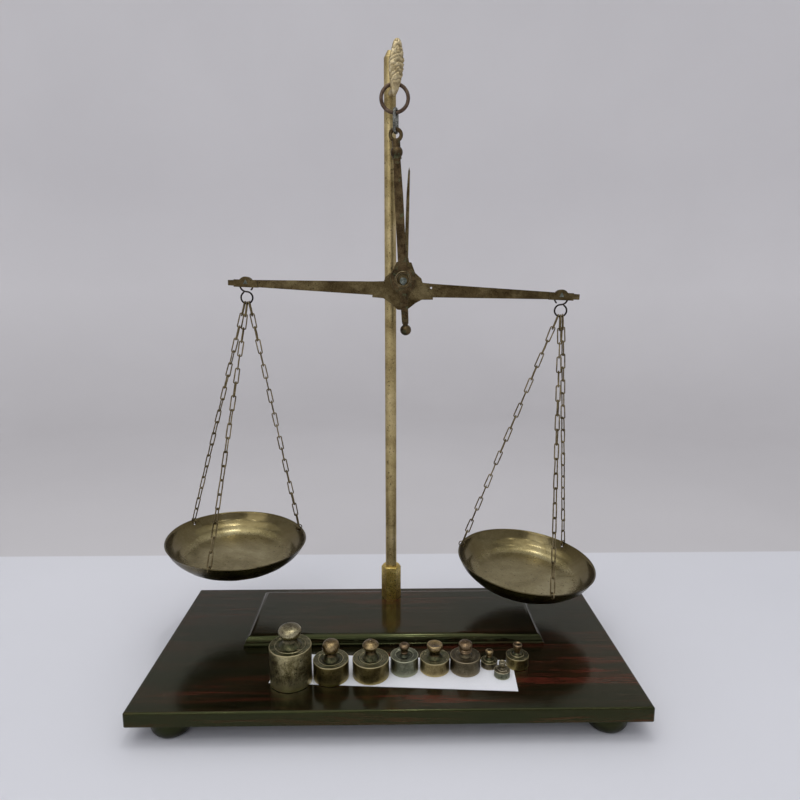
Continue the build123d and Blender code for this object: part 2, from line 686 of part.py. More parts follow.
save("base_board", base_board())
save("plinth", plinth())
for corner, (side_x, side_y) in FEET.items():
    save(f"foot_{corner}", Pos(side_x * FOOT_X, side_y * FOOT_Y, 0) * foot())
screws = [Pos(sx * FOOT_X, sy * FOOT_Y, 0) * foot_screw() for sx, sy in FEET.values()]
save("foot_screws", Compound(screws))
save("column_socket", column_socket())
save("column", column())
save("column_stud", column_stud())
save("base_washer", base_washer())
save("base_nut", base_nut())
save("finial_hook", finial_hook())
save("weight_card", weight_card())
save("hanging_ring", hanging_ring())
save("suspension_link", suspension_link())
save("shears_eye", shears_eye())
save("shears_tail", shears_tail())
save("shears_top_rivet", shears_rivet(TONGUE_TOP + 2.2))
save("shears_tail_rivet", shears_rivet(TONGUE_LOW - 3.0))
for word, side in (("front", -1), ("back", 1)):
    save(f"shears_{word}_cheek", cheek(side))
    save(f"{word}_bearing", bearing_bush(side))
save("beam", beam())
save("fulcrum_knife", fulcrum_knife())
save("pointer", pointer())
for word, side in (("left", -1), ("right", 1)):
    save(f"{word}_end_knife", end_knife(side))
    save(f"{word}_s_hook", s_hook(side))
    save(f"{word}_pan", pan(word))
    rings = [rim_ring(frame) for frame in rim_ring_frames(word)]
    save(f"{word}_rim_rings", Compound(rings))
    lines = [ChainLine(word, index) for index in range(3)]
    save(f"{word}_top_links", Compound([line.link(0) for line in lines]))
    for place, line in zip(("outer", "front", "inner"), lines):
        links = [line.link(number) for number in range(1, CHAIN_LINKS)]
        save(f"{word}_chain_{place}", Compound(links))
for name, measures in WEIGHTS.items():
    save(name, weight(*measures))
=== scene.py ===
"""Looks of the brass hand balance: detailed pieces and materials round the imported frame."""

import json
import math
import random

import bmesh
import bpy
import numpy as np
from mathutils import Matrix, Vector, noise


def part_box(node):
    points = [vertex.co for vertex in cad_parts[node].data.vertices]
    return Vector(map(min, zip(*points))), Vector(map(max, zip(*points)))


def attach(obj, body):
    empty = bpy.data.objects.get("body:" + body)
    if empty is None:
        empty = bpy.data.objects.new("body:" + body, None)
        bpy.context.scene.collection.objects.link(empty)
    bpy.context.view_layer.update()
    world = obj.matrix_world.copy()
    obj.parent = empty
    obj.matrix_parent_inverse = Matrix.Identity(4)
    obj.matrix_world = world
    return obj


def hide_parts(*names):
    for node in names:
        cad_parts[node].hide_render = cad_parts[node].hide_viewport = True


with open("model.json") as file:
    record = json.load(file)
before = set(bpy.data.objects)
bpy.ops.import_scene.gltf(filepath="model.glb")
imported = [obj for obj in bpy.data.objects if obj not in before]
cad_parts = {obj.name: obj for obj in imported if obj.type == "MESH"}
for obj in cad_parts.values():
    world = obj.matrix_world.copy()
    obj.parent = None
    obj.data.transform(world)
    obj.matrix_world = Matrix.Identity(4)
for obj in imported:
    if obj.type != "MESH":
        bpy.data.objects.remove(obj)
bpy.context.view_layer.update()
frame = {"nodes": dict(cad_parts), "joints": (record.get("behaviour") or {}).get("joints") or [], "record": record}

MM = 0.001
NODES = frame["nodes"]
JOINTS = {joint["name"]: joint for joint in frame["joints"]}
MOUNTS = {mount["name"]: mount for mount in frame["record"]["mounts"]}
BODY_OF = {node: body for body, members in frame["record"]["behaviour"]["bodies"].items() for node in members}
SLOT_OF = {part["node"]: part["material_slot"] for part in frame["record"]["subparts"]}
SEED = 11
chance = random.Random(SEED)
noise.seed_set(SEED)  # without it, noise_vector starts from the clock and every run differs


# ---- shader building ----------------------------------------------------------------------------
class Finish:
    """One procedural material: a Principled shader and the nodes that feed it."""

    def __init__(self, name, metallic=0.0, roughness=0.4, specular=0.5, tint=(1.0, 1.0, 1.0)):
        self.material = bpy.data.materials.new(name)
        self.material.use_nodes = True
        self.tree = self.material.node_tree
        self.shader = self.tree.nodes["Principled BSDF"]
        self.shader.inputs["Metallic"].default_value = metallic
        self.shader.inputs["Roughness"].default_value = roughness
        self.shader.inputs["Specular Tint"].default_value = (*tint, 1.0)
        self.shader.inputs["Specular IOR Level"].default_value = specular
        self.place = self.tree.nodes.new("ShaderNodeTexCoord").outputs["Object"]
        self.last_normal = None

    def link(self, source, target):
        self.tree.links.new(source, target)

    def feed(self, node, socket, value):
        """Link a value to a socket, or set it when it is a plain number or colour."""
        if isinstance(value, bpy.types.NodeSocket):
            self.link(value, node.inputs[socket])
        else:
            node.inputs[socket].default_value = value

    def stretched(self, scale, turn=(0.0, 0.0, 0.0)):
        node = self.tree.nodes.new("ShaderNodeMapping")
        node.inputs["Scale"].default_value = scale
        node.inputs["Rotation"].default_value = turn
        self.link(self.place, node.inputs["Vector"])
        return node.outputs["Vector"]

    def noise(self, scale, detail=4.0, rough=0.55, where=None, distortion=0.0):
        node = self.tree.nodes.new("ShaderNodeTexNoise")
        node.inputs["Scale"].default_value = scale
        node.inputs["Detail"].default_value = detail
        node.inputs["Roughness"].default_value = rough
        node.inputs["Distortion"].default_value = distortion
        self.link(where or self.place, node.inputs["Vector"])
        return node.outputs["Fac"]

    def cells(self, scale):
        node = self.tree.nodes.new("ShaderNodeTexVoronoi")
        node.inputs["Scale"].default_value = scale
        self.link(self.place, node.inputs["Vector"])
        return node.outputs["Distance"]

    def attribute(self, name):
        node = self.tree.nodes.new("ShaderNodeAttribute")
        node.attribute_name = name
        return node.outputs["Fac"]

    def edges(self):
        """High on convex edges and low in crevices."""
        return self.tree.nodes.new("ShaderNodeNewGeometry").outputs["Pointiness"]

    def ramp(self, value, stops):
        node = self.tree.nodes.new("ShaderNodeValToRGB")
        self.link(value, node.inputs["Fac"])
        marks = node.color_ramp.elements
        while len(marks) < len(stops):
            marks.new(0.5)
        for mark, (position, colour) in zip(marks, stops):
            mark.position = position
            if isinstance(colour, (int, float)):
                colour = (colour, colour, colour)
            mark.color = (*colour, 1.0)
        return node.outputs["Color"]

    def mix(self, share, low, high):
        node = self.tree.nodes.new("ShaderNodeMix")
        node.data_type = "RGBA"
        self.feed(node, 0, share)
        for socket, value in ((6, low), (7, high)):
            if isinstance(value, tuple):
                value = (*value, 1.0)
            self.feed(node, socket, value)
        return node.outputs[2]

    def maths(self, kind, first, second=0.0):
        node = self.tree.nodes.new("ShaderNodeMath")
        node.operation = kind
        self.feed(node, 0, first)
        self.feed(node, 1, second)
        return node.outputs[0]

    def weighed(self, first, share, second, rest):
        """Two values added together, each by its own share."""
        return self.maths("ADD", self.maths("MULTIPLY", first, share), self.maths("MULTIPLY", second, rest))

    def span(self, value, low, high, from_low=0.3, from_high=0.7):
        node = self.tree.nodes.new("ShaderNodeMapRange")
        self.feed(node, "Value", value)
        node.inputs["From Min"].default_value = from_low
        node.inputs["From Max"].default_value = from_high
        node.inputs["To Min"].default_value = low
        node.inputs["To Max"].default_value = high
        return node.outputs["Result"]

    def bump(self, height, strength, distance):
        node = self.tree.nodes.new("ShaderNodeBump")
        node.inputs["Strength"].default_value = strength
        node.inputs["Distance"].default_value = distance
        self.link(height, node.inputs["Height"])
        if self.last_normal is not None:
            self.link(self.last_normal, node.inputs["Normal"])
        self.last_normal = node.outputs["Normal"]
        self.link(self.last_normal, self.shader.inputs["Normal"])

    def colour(self, value):
        self.feed(self.shader, "Base Color", value)

    def roughness(self, value):
        self.feed(self.shader, "Roughness", value)


def dark_wood(name, streak, dark, red, shine=0.13):
    """Stained hardwood under varnish: long grain along X, red streaks, fine pores and dust."""
    finish = Finish(name, roughness=0.2, specular=0.36, tint=(0.88, 1.0, 0.42))
    waves = finish.noise(1.7, 5.0, 0.62, finish.stretched((5.0, 70.0, 60.0)), 1.1)
    fine = finish.noise(15.0, 4.0, 0.65, finish.stretched((2.4, 60.0, 60.0)))
    patches = finish.noise(9.0, 3.0, 0.5, finish.stretched((0.7, 1.3, 1.0)))
    grain = finish.weighed(waves, 0.64, fine, 0.36)
    base = finish.ramp(grain, [(0.38, dark), (0.49, streak), (0.60, red)])
    shade = finish.ramp(patches, [(0.44, 1.0), (0.62, 0.0)])
    base = finish.mix(finish.maths("MULTIPLY", shade, 0.7), base, dark)
    pores = finish.noise(60.0, 2.0, 0.5, finish.stretched((2.0, 26.0, 26.0)))
    pore_mask = finish.ramp(pores, [(0.30, 1.0), (0.42, 0.0)])
    base = finish.mix(pore_mask, base, (0.003, 0.002, 0.001))
    dust = finish.ramp(finish.noise(1100.0, 2.0, 0.5), [(0.70, 0.0), (0.80, 0.3)])
    finish.colour(finish.mix(dust, base, (0.10, 0.09, 0.07)))
    smear = finish.noise(24.0, 4.0, 0.6, finish.stretched((1.0, 2.0, 2.0)))
    finish.roughness(finish.span(smear, shine - 0.03, shine + 0.07))
    finish.bump(pores, 0.08, 0.0003)
    finish.bump(fine, 0.05, 0.0004)
    return finish.material


def aged_metal(name, dark, mid, light, rough=(0.28, 0.5), patch=55.0, speck=700.0, spots=0.0,
               bump=0.25, wear=None, painted_shade_tone=False, green=0.0):
    """Tarnished metal: soft patches, fine speckle, dark spots, edges rubbed bright, and painted shade in crevices
    and where the mesh's shading tone is low.
    """
    finish = Finish(name, metallic=1.0, roughness=rough[0])
    patches = finish.noise(patch, 5.0, 0.62, None, 0.4)
    specks = finish.noise(speck, 3.0, 0.6)
    both = finish.weighed(patches, 0.66, specks, 0.34)
    base = finish.ramp(both, [(0.36, dark), (0.5, mid), (0.64, light)])
    if spots:
        marks = finish.ramp(finish.noise(speck * 0.42, 4.0, 0.7), [(0.62 - spots, 0.0), (0.70 - spots, 0.85)])
        base = finish.mix(marks, base, tuple(channel * 0.22 for channel in dark))
    if green:
        stain = finish.ramp(finish.noise(patch * 1.7, 4.0, 0.6), [(0.60 - green, 0.0), (0.74 - green, 0.7)])
        base = finish.mix(stain, base, (0.10, 0.13, 0.07))
    # Painted shade: where the mesh's shading tone is low, in grooves, hollows and at the feet of the leaf's
    # scales, the colour is painted darker.
    if painted_shade_tone:
        painted_shade_ramp = finish.ramp(finish.attribute("painted_shade_tone"), [(0.0, 0.0), (0.75, 1.0)])
        base = finish.mix(painted_shade_ramp, tuple(channel * 0.35 for channel in dark), base)
    if wear:
        rubbed = finish.ramp(finish.edges(), [(0.505, 0.0), (0.54, 0.9)])
        # Painted shade: where pointiness is low, in crevices, the colour is painted near black. The bright rubbed
        # edges are wear.
        painted_crevice_shade = finish.ramp(finish.edges(), [(0.455, 0.75), (0.495, 0.0)])
        base = finish.mix(rubbed, base, wear)
        base = finish.mix(painted_crevice_shade, base, tuple(channel * 0.2 for channel in dark))
    finish.colour(base)
    finish.roughness(finish.span(specks, rough[0], rough[1]))
    finish.bump(specks, bump * 0.5, 0.00012)
    finish.bump(patches, bump, 0.0005)
    return finish


FINISHES = {
    "dark_wood": dark_wood(
        "dark_wood", (0.015, 0.0085, 0.004), (0.0045, 0.005, 0.002), (0.066, 0.014, 0.008)),
    "foot_wood": dark_wood(
        "foot_wood", (0.007, 0.005, 0.003), (0.003, 0.003, 0.002), (0.013, 0.007, 0.004), 0.3),
    "column_brass": aged_metal(
        "column_brass", (0.24, 0.175, 0.070), (0.46, 0.36, 0.165), (0.64, 0.52, 0.28),
        (0.38, 0.56), patch=46.0, speck=1100.0, spots=0.03, bump=0.3).material,
    "socket_brass": aged_metal(
        "socket_brass", (0.36, 0.24, 0.050), (0.66, 0.48, 0.13), (0.90, 0.74, 0.28),
        (0.24, 0.42), patch=90.0, speck=900.0, spots=0.02).material,
    "cast_brass": aged_metal(
        "cast_brass", (0.26, 0.19, 0.085), (0.54, 0.44, 0.25), (0.72, 0.62, 0.41),
        (0.40, 0.6), patch=170.0, speck=1500.0, painted_shade_tone=True, bump=0.4).material,
    "dark_brass": aged_metal(
        "dark_brass", (0.026, 0.017, 0.008), (0.075, 0.050, 0.024), (0.150, 0.108, 0.052),
        (0.36, 0.58), patch=150.0, speck=1200.0, green=0.04, bump=0.4).material,
    "beam_brass": aged_metal(
        "beam_brass", (0.040, 0.026, 0.010), (0.100, 0.072, 0.032), (0.185, 0.145, 0.070),
        (0.38, 0.58), patch=80.0, speck=1000.0, spots=0.02, bump=0.35).material,
    "chain_brass": aged_metal(
        "chain_brass", (0.060, 0.042, 0.018), (0.16, 0.122, 0.058), (0.31, 0.25, 0.14),
        (0.30, 0.5), patch=110.0, speck=1300.0).material,
    "dark_iron": aged_metal(
        "dark_iron", (0.012, 0.010, 0.009), (0.028, 0.023, 0.020), (0.060, 0.046, 0.035),
        (0.36, 0.6), patch=140.0, speck=1400.0, bump=0.5).material,
    "ring_iron": aged_metal(
        "ring_iron", (0.050, 0.030, 0.020), (0.115, 0.078, 0.055), (0.20, 0.145, 0.10),
        (0.40, 0.6), patch=160.0, speck=1400.0, bump=0.5).material,
    "link_steel": aged_metal(
        "link_steel", (0.060, 0.060, 0.050), (0.17, 0.17, 0.145), (0.36, 0.36, 0.32),
        (0.22, 0.4), patch=160.0, speck=1400.0, bump=0.4).material,
    "grey_steel": aged_metal(
        "grey_steel", (0.055, 0.066, 0.052), (0.125, 0.140, 0.115), (0.26, 0.28, 0.24),
        (0.32, 0.52), patch=320.0, speck=1800.0, spots=0.03).material,
    "zinc_steel": aged_metal(
        "zinc_steel", (0.30, 0.30, 0.29), (0.46, 0.46, 0.45), (0.60, 0.60, 0.58),
        (0.25, 0.42), patch=150.0, speck=1500.0).material,
    # Lighter colour for the rounded edges of brass pieces: partly rubbed wear, partly a painted highlight along
    # the edge.
    "worn_edge_and_highlight": aged_metal(
        "worn_edge_and_highlight", (0.075, 0.056, 0.026), (0.17, 0.135, 0.070), (0.42, 0.36, 0.22),
        (0.26, 0.42), patch=210.0, speck=1400.0).material,
    "socket_edge": aged_metal(
        "socket_edge", (0.22, 0.15, 0.04), (0.46, 0.35, 0.12), (0.75, 0.62, 0.32),
        (0.2, 0.36), patch=210.0, speck=1400.0).material,
}


def card_finish():
    """White card with a faint fibre and soft patches of tone."""
    finish = Finish("card", roughness=0.72, specular=0.3)
    fibre = finish.noise(1500.0, 3.0, 0.6)
    tone = finish.noise(18.0, 3.0, 0.5)
    base = finish.ramp(tone, [(0.35, (0.70, 0.72, 0.77)), (0.65, (0.80, 0.81, 0.85))])
    finish.colour(finish.mix(0.12, base, finish.ramp(fibre, [(0.3, 0.55), (0.7, 0.9)])))
    finish.roughness(finish.span(fibre, 0.62, 0.8))
    finish.bump(fibre, 0.12, 0.0001)
    return finish.material


FINISHES["card"] = card_finish()


def pan_inside_finish():
    """Spun brass, tarnished olive, with fine scratches, dents and a few dark spots."""
    finish = Finish("pan_inside", metallic=1.0, roughness=0.3)
    clouds = finish.noise(26.0, 5.0, 0.6, None, 0.6)
    specks = finish.noise(520.0, 4.0, 0.65)
    both = finish.weighed(clouds, 0.72, specks, 0.28)
    base = finish.ramp(both, [(0.38, (0.215, 0.175, 0.078)), (0.5, (0.325, 0.275, 0.140)),
                              (0.62, (0.44, 0.385, 0.22))])
    marks = finish.ramp(finish.noise(160.0, 3.0, 0.6), [(0.69, 0.0), (0.74, 0.8)])
    base = finish.mix(marks, base, (0.045, 0.034, 0.014))
    rings = finish.ramp(finish.cells(38.0), [(0.055, 0.0), (0.07, 0.6), (0.085, 0.0)])
    base = finish.mix(rings, base, (0.13, 0.10, 0.045))
    scratches = finish.noise(90.0, 3.0, 0.7, finish.stretched((1.0, 14.0, 1.0), (0.0, 0.0, 0.6)))
    scratch_mask = finish.ramp(scratches, [(0.64, 0.0), (0.70, 0.5)])
    base = finish.mix(scratch_mask, base, (0.52, 0.46, 0.30))
    # Painted shade: the bend, wall and rim, where the mesh's shading tone falls, are painted darker than the
    # floor; the same tone also makes the floor rougher.
    floor = finish.ramp(finish.attribute("painted_shade_tone"), [(0.0, 0.0), (1.0, 1.0)])
    darker_wall = finish.mix(0.80, base, (0.095, 0.070, 0.028))
    finish.colour(finish.mix(floor, darker_wall, base))
    speck_gloss = finish.span(specks, 0.0, 0.08)
    floor_gloss = finish.span(floor, 0.15, 0.26, 0.0, 1.0)
    finish.roughness(finish.maths("ADD", speck_gloss, floor_gloss))
    dents = finish.ramp(finish.cells(30.0), [(0.0, 0.0), (0.20, 1.0)])
    finish.bump(dents, 0.45, 0.0006)
    finish.bump(clouds, 0.4, 0.0010)
    finish.bump(scratches, 0.10, 0.0002)
    finish.bump(specks, 0.10, 0.0001)
    return finish.material


PAN_INSIDE = pan_inside_finish()
PAN_OUTSIDE = aged_metal(
    "pan_outside", (0.035, 0.027, 0.011), (0.080, 0.064, 0.030), (0.16, 0.13, 0.065),
    (0.24, 0.4), patch=34.0, speck=600.0, spots=0.02, bump=0.3).material
FINISHES["pan_brass"] = PAN_OUTSIDE


# ---- mesh building ------------------------------------------------------------------------------
def add_piece(name, mesh_edit, materials, node, sharp=38.0, also=()):
    """Turn an edited mesh into a piece that stands for a CAD node and rides on its body."""
    mesh = bpy.data.meshes.new(name)
    mesh_edit.to_mesh(mesh)
    mesh_edit.free()
    mesh.shade_smooth()
    mesh.set_sharp_from_angle(angle=math.radians(sharp))
    obj = bpy.data.objects.new(name, mesh)
    bpy.context.scene.collection.objects.link(obj)
    for material in materials:
        mesh.materials.append(material)
    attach(obj, BODY_OF[node])
    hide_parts(node, *also)
    return obj


def welded(node):
    """The CAD node's mesh with its split corners joined."""
    edit = bmesh.new()
    edit.from_mesh(NODES[node].data)
    bmesh.ops.remove_doubles(edit, verts=edit.verts, dist=2e-6)
    return edit


def eased(node, width, edge="worn_edge_and_highlight"):
    """The CAD node's own shape with its sharp edges broken by a small round and a faint unevenness."""
    flat_angle, sharp_angle = math.radians(1.0), math.radians(32)
    unevenness, ripple = 0.03 * MM, 160.0
    edit = welded(node)
    bmesh.ops.dissolve_limit(edit, angle_limit=flat_angle, verts=edit.verts, edges=edit.edges)
    sharp = [e for e in edit.edges if len(e.link_faces) == 2 and e.calc_face_angle() > sharp_angle]
    rounds = bmesh.ops.bevel(edit, geom=sharp, offset=width, segments=2, profile=0.6, affect="EDGES",
                             clamp_overlap=True)
    # The rounds take the edge material, which on brass is lighter: rubbed wear and a painted highlight.
    for face in rounds["faces"]:
        face.material_index = 1
    bmesh.ops.triangulate(edit, faces=[f for f in edit.faces if len(f.verts) > 4])
    for vertex in edit.verts:
        vertex.co += noise.noise_vector(vertex.co * ripple) * unevenness
    looks = [FINISHES[SLOT_OF[node]], FINISHES[edge]]
    obj = add_piece(node + "_worked", edit, looks, node, 60.0)
    normals = obj.modifiers.new("weighted", "WEIGHTED_NORMAL")
    normals.keep_sharp = True
    return obj


def loose_parts(node):
    """Vertex places of each separate solid in a node, as arrays, in the same order on every run."""
    edit = welded(node)
    edit.verts.index_update()
    met = set()
    parts = []
    for first in edit.verts:
        if first.index in met:
            continue
        met.add(first.index)
        stack = [first]
        found = []
        while stack:
            vertex = stack.pop()
            found.append(vertex.co.copy())
            for edge in vertex.link_edges:
                other = edge.other_vert(vertex)
                if other.index not in met:
                    met.add(other.index)
                    stack.append(other)
        parts.append(np.array(found))
    edit.free()
    return parts


def tube(edit, path, radius, sides=10, closed=True, swell=None):
    """Round wire along a path of points, added to an edited mesh."""
    count = len(path)
    rings = []
    normal = None
    for index, point in enumerate(path):
        before = path[index - 1] if index or closed else point
        after = path[(index + 1) % count] if index < count - 1 or closed else point
        tangent = (after - before).normalized()
        if normal is None:
            normal = tangent.orthogonal().normalized()
        normal = (normal - tangent * normal.dot(tangent)).normalized()
        side = tangent.cross(normal)
        size = radius * (swell[index] if swell else 1.0)
        ring = []
        for step in range(sides):
            angle = 2 * math.pi * step / sides
            ring.append(edit.verts.new(point + (normal * math.cos(angle) + side * math.sin(angle)) * size))
        rings.append(ring)
    spans = count if closed else count - 1
    for index in range(spans):
        near = rings[index]
        far = rings[(index + 1) % count]
        shift = 0
        if closed and index == count - 1:
            shift = min(range(sides), key=lambda s: (near[0].co - far[s].co).length)
        for step in range(sides):
            edit.faces.new((near[step], near[(step + 1) % sides],
                            far[(step + 1 + shift) % sides], far[(step + shift) % sides]))
    if not closed:
        edit.faces.new(list(reversed(rings[0])))
        edit.faces.new(rings[-1])


def lathe(profile, segments=96):
    """Surface of revolution about Z. Each profile point is (radius, height, finish, shading tone); a low shading
    tone is painted shade, made darker by the material.
    """
    edit = bmesh.new()
    layer = edit.verts.layers.float.new("painted_shade_tone")
    rings = []
    for radius, height, _, painted_shade_tone in profile:
        ring = []
        for step in range(1 if radius < 1e-7 else segments):
            angle = 2 * math.pi * step / segments
            vertex = edit.verts.new((radius * math.cos(angle), radius * math.sin(angle), height))
            vertex[layer] = painted_shade_tone
            ring.append(vertex)
        rings.append(ring)
    for index in range(len(rings) - 1):
        low, high = rings[index], rings[index + 1]
        for step in range(segments):
            ahead = (step + 1) % segments
            corners = [low[step % len(low)], low[ahead % len(low)],
                       high[ahead % len(high)], high[step % len(high)]]
            corners = list(dict.fromkeys(corners))
            if len(corners) > 2:
                edit.faces.new(corners).material_index = profile[index + 1][2]
    return edit


def curve_through(points, steps):
    """Smooth run of points through the given ones (Catmull-Rom)."""
    given = [np.array(p, float) for p in points]
    given = [2 * given[0] - given[1]] + given + [2 * given[-1] - given[-2]]
    run = []
    for a, b, c, d in zip(given, given[1:], given[2:], given[3:]):
        for step in range(steps):
            t = step / steps
            run.append(0.5 * (2 * b + (c - a) * t + (2 * a - 5 * b + 4 * c - d) * t * t
                              + (3 * b - a - 3 * c + d) * t ** 3))
    run.append(given[-2])
    return [tuple(float(v) for v in p) for p in run]


# ---- leaf on the column -------------------------------------------------------------------------
def leaf_hook():
    """Cast leaf with overlapping scales down its face, on a round tang."""
    axis_low, axis_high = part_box("column")
    middle = (axis_low + axis_high) / 2
    low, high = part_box("finial_hook")
    ring = Vector(JOINTS["ring_swing"]["pos_m"])
    turn = math.atan2(ring.x - middle.x, middle.y - ring.y)
    reach = 18.6 * MM
    tang_z = ring.z
    half_w, half_t = 5.5 * MM, 2.4 * MM
    shares = curve_through(
        [(0.0, 0.10, 0.35), (0.03, 0.24, 0.5), (0.12, 0.53, 0.75), (0.22, 0.70, 0.9), (0.35, 0.86, 1.0),
         (0.46, 0.94, 1.0), (0.57, 1.0, 1.0), (0.71, 0.90, 1.0), (0.83, 0.71, 0.9), (0.925, 0.56, 0.75),
         (0.98, 0.36, 0.5), (1.0, 0.12, 0.25)], 12)
    edit = bmesh.new()
    layer = edit.verts.layers.float.new("painted_shade_tone")
    sides = 64
    rings = []
    for share, wide, deep in shares:
        height = low.z + (high.z - low.z) * share
        scaled = min(1.0, max(0.0, (share - 0.16) / 0.14))
        ring_verts = []
        for step in range(sides):
            angle = 2 * math.pi * step / sides
            across, out = math.cos(angle), -math.sin(angle)
            front = max(0.0, math.sin(angle))
            lumps = noise.noise(Vector((across * 1.6, share * 9.0, front)))
            crumbs = noise.noise(Vector((across * 4.5, share * 34.0, front * 3.0)))
            row = share * 10.5 + 0.40 * abs(across) - 0.45 * across + 0.75 * lumps
            scale = row % 1.0
            lift = scale ** 0.75 * (1.0 - max(0.0, (scale - 0.82) / 0.18))
            vein = 0.5 + 0.5 * math.cos(across * 17.0 + 2.0 * math.floor(row))
            depth = front ** 0.5 * scaled * (0.62 * lift + 0.13 * vein) + 0.16 * lift * scaled * (1 - front)
            depth += front * (0.22 * lumps + 0.34 * scaled * crumbs)
            side_bump = scaled * (lift * (0.10 if across > 0 else 0.03) + 0.05 * crumbs)
            x = half_w * wide * across * (0.95 + side_bump * 1.6)
            x += (-1.3 + 2.1 * share) * MM
            y = half_t * deep * out * 0.82 - depth * 0.85 * MM * (0.35 + 0.65 * min(1.0, wide * 1.3))
            vertex = edit.verts.new((x, y - reach, height - tang_z))
            # Painted shade: the foot of each scale and the back get a low shading tone, the raised scale edges a
            # high one; the material paints the low tones darker.
            vertex[layer] = min(1.0, 0.2 + 0.95 * lift) if front > 0.05 else 0.5 + 0.3 * lift
            if scaled < 0.5:
                vertex[layer] = 0.62 + 0.3 * lumps
            ring_verts.append(vertex)
        rings.append(ring_verts)
    for near, far in zip(rings, rings[1:]):
        for step in range(sides):
            ahead = (step + 1) % sides
            edit.faces.new((near[step], near[ahead], far[ahead], far[step]))
    edit.faces.new(list(reversed(rings[0])))
    edit.faces.new(rings[-1])
    before = set(edit.verts)
    tang = [Vector((0, -d * MM, 0)) for d in (-3.9, -3.5, 0, 4.6, 5.0, 10.0, 15.0, 16.6)]
    tube(edit, tang, 2.38 * MM, 28, closed=False)
    for vertex in edit.verts:
        if vertex not in before:
            vertex[layer] = 0.7
    spin = Matrix.Rotation(turn, 4, "Z")
    lift = Matrix.Translation((middle.x, middle.y, tang_z))
    bmesh.ops.transform(edit, matrix=lift @ spin, verts=edit.verts)
    add_piece("leaf_hook", edit, [FINISHES["cast_brass"]], "finial_hook", 50.0)


# ---- chains -------------------------------------------------------------------------------------
def wire_link(edit, centre, along, width, half_l, half_w, radius):
    """Long link bent from wire: straight sides, tight corners, a slight twist and a seam."""
    normal = along.cross(width)
    twist = math.radians(chance.uniform(-5, 5))
    width = (width * math.cos(twist) + normal * math.sin(twist)).normalized()
    normal = along.cross(width)
    pinch = chance.uniform(-0.10, 0.10)
    corner = half_w * 0.85
    outline = [(half_w, (half_l - corner) * k / 3) for k in (-3, -1, 0, 1, 3)]
    for step in range(1, 12):
        angle = math.pi * step / 12
        c, s = math.cos(angle), math.sin(angle)
        outline.append((math.copysign(abs(c) ** 0.6, c) * half_w, half_l - corner + corner * s ** 0.6))
    outline += [(-x, -z) for x, z in outline]
    path = []
    swell = []
    for index, (x, z) in enumerate(outline):
        x *= 1.0 + pinch * (z / half_l)
        bow = 0.05 * MM * math.sin(z / half_l * 3.0 + pinch * 30)
        path.append(centre + width * x + along * z + normal * bow)
        swell.append(1.14 if index == 2 else 1.0)
    tube(edit, path, radius, 8, swell=swell)


def chain(node):
    """All the links of a chain node, each where the CAD has it, in wire a tenth thicker than the CAD's."""
    thicker = 1.1
    edit = bmesh.new()
    for places in loose_parts(node):
        middle = places.mean(0)
        spread = places - middle
        _, _, axes = np.linalg.svd(spread, full_matrices=False)
        reach = spread @ axes.T
        low, high = reach.min(0), reach.max(0)
        centre = middle + ((low + high) / 2) @ axes
        half = (high - low) / 2
        radius = half[2]
        wire_link(edit, Vector(centre), Vector(axes[0]), Vector(axes[1]),
                  half[0] - radius, half[1] - radius, radius * thicker)
    add_piece(node + "_wire", edit, [FINISHES["chain_brass"]], node, 70.0)


# ---- S-hooks ------------------------------------------------------------------------------------
def s_hook(side_word, side):
    """S-hook bent from one iron wire in the plane of the beam, its two ends cut blunt."""
    turn = JOINTS[side_word + "_hook_turn"]
    hang = Vector(turn["pos_m"])
    loop = Vector(JOINTS[side_word + "_pan_swing"]["pos_m"])
    way = Vector(turn["axis"]).cross(Vector((0, 0, 1))) * -side
    rise = Vector((0, 0, 1))
    wire, up_r, low_r = 0.65 * MM, 5.0 * MM, 4.5 * MM
    up_start, up_sweep, low_sweep = -50, 320, 335
    up = hang - rise * (up_r - wire - 0.12 * MM)
    path = []
    steps = 34
    for step in range(steps + 1):
        angle = math.radians(up_start + up_sweep * step / steps)
        path.append(up + (way * math.cos(angle) + rise * math.sin(angle)) * up_r)
    for step in range(1, steps + 1):
        angle = math.radians(90 - low_sweep * step / steps)
        path.append(loop + (way * math.cos(angle) + rise * math.sin(angle)) * low_r)
    path = [p + noise.noise_vector(p * 120.0) * 0.00008 for p in path]
    edit = bmesh.new()
    swell = [1.0] * len(path)
    swell[0] = swell[-1] = 0.75
    tube(edit, path, wire, 12, closed=False, swell=swell)
    add_piece(side_word + "_s_hook_wire", edit, [FINISHES["dark_iron"]], side_word + "_s_hook", 50.0)


# ---- pans ---------------------------------------------------------------------------------------
def drill(obj, hole, through, radius, depth):
    """Cut one round hole through a piece."""
    edit = bmesh.new()
    turn = through.to_track_quat("Z", "Y").to_matrix().to_4x4()
    bmesh.ops.create_cone(edit, cap_ends=True, segments=24, radius1=radius, radius2=radius,
                          depth=depth, matrix=Matrix.Translation(hole) @ turn)
    mesh = bpy.data.meshes.new("drill")
    edit.to_mesh(mesh)
    edit.free()
    tool = bpy.data.objects.new("drill", mesh)
    bpy.context.scene.collection.objects.link(tool)
    cut = obj.modifiers.new("hole", "BOOLEAN")
    cut.operation = "DIFFERENCE"
    cut.solver = "EXACT"
    cut.object = tool
    bpy.context.view_layer.update()
    shape = bpy.data.meshes.new_from_object(obj.evaluated_get(bpy.context.evaluated_depsgraph_get()))
    obj.modifiers.clear()
    obj.data = shape
    bpy.data.objects.remove(tool)


